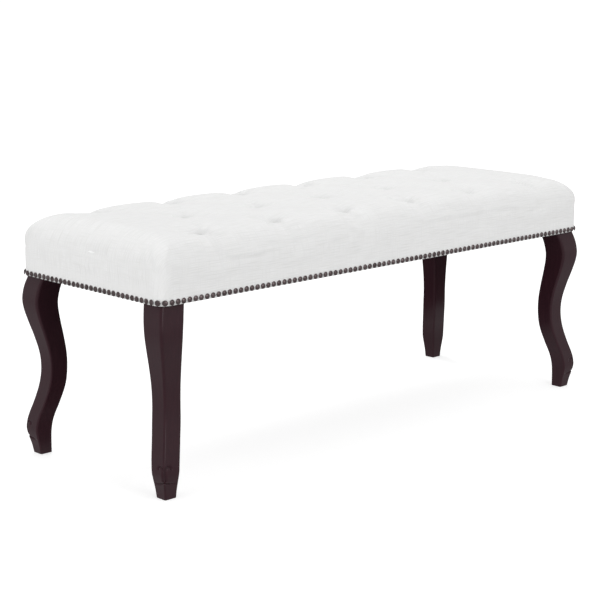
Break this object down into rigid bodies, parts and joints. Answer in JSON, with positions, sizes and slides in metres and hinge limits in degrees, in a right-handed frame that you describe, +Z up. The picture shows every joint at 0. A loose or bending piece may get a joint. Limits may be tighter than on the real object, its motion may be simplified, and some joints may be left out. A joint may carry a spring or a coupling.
{
  "type": "upholstered bench",
  "caption": "Long upholstered bench with a diamond button-tufted linen seat, domed nail trim round its lower edge and curved square legs in dark stained wood.",
  "frame": {"origin": "on the floor under the middle of the bench", "axes": "+Z up, +X along the seat's length to the sitter's left as they face forward, -Y towards the front"},
  "size_m": [1.2064, 0.4414, 0.479],
  "materials": {
    "linen": "off-white linen, slubby plain weave, matt",
    "wadding": "white polyester wadding",
    "foam": "open-cell upholstery foam, pale yellow",
    "plywood": "bare birch plywood",
    "frame_timber": "sawn bare timber",
    "zinc_steel": "zinc plated",
    "stained_wood": "espresso stain under satin lacquer",
    "nylon": "moulded nylon",
    "cambric": "black non-woven cambric",
    "antique_bronze": "antique bronze, domed and polished on the crowns"
  },
  "bodies": {
    "root": {"seat_cover": "linen", "wadding": "wadding", "foam_pad": "foam", "seat_deck": "plywood", "tuft_button_01": "linen", "tuft_button_02": "linen", "tuft_button_03": "linen", "tuft_button_04": "linen", "tuft_button_05": "linen", "tuft_button_06": "linen", "tuft_button_07": "linen", "tuft_button_08": "linen", "tuft_button_09": "linen", "tuft_button_10": "linen", "tuft_button_11": "linen", "tuft_button_12": "linen", "tuft_button_13": "linen", "tuft_button_14": "linen", "tuft_button_15": "linen", "tuft_button_16": "linen", "tuft_button_17": "linen", "rail_front": "frame_timber", "rail_back": "frame_timber", "rail_left": "frame_timber", "rail_right": "frame_timber", "cross_rail_left": "frame_timber", "cross_rail_right": "frame_timber", "corner_block_front_left": "frame_timber", "corner_block_front_right": "frame_timber", "corner_block_back_left": "frame_timber", "corner_block_back_right": "frame_timber", "dowel_front_left": "frame_timber", "dowel_front_right": "frame_timber", "dowel_back_left": "frame_timber", "dowel_back_right": "frame_timber", "hanger_bolt_front_left": "zinc_steel", "hanger_bolt_front_right": "zinc_steel", "hanger_bolt_back_left": "zinc_steel", "hanger_bolt_back_right": "zinc_steel", "tee_nut_front_left": "zinc_steel", "tee_nut_front_right": "zinc_steel", "tee_nut_back_left": "zinc_steel", "tee_nut_back_right": "zinc_steel", "leg_front_left": "stained_wood", "leg_front_right": "stained_wood", "leg_back_left": "stained_wood", "leg_back_right": "stained_wood", "foot_glide_front_left": "nylon", "foot_glide_front_right": "nylon", "foot_glide_back_left": "nylon", "foot_glide_back_right": "nylon", "dust_cover": "cambric", "nail_trim_front": "antique_bronze", "nail_trim_right": "antique_bronze", "nail_trim_back": "antique_bronze", "nail_trim_left": "antique_bronze"}
  },
  "joints": []
}
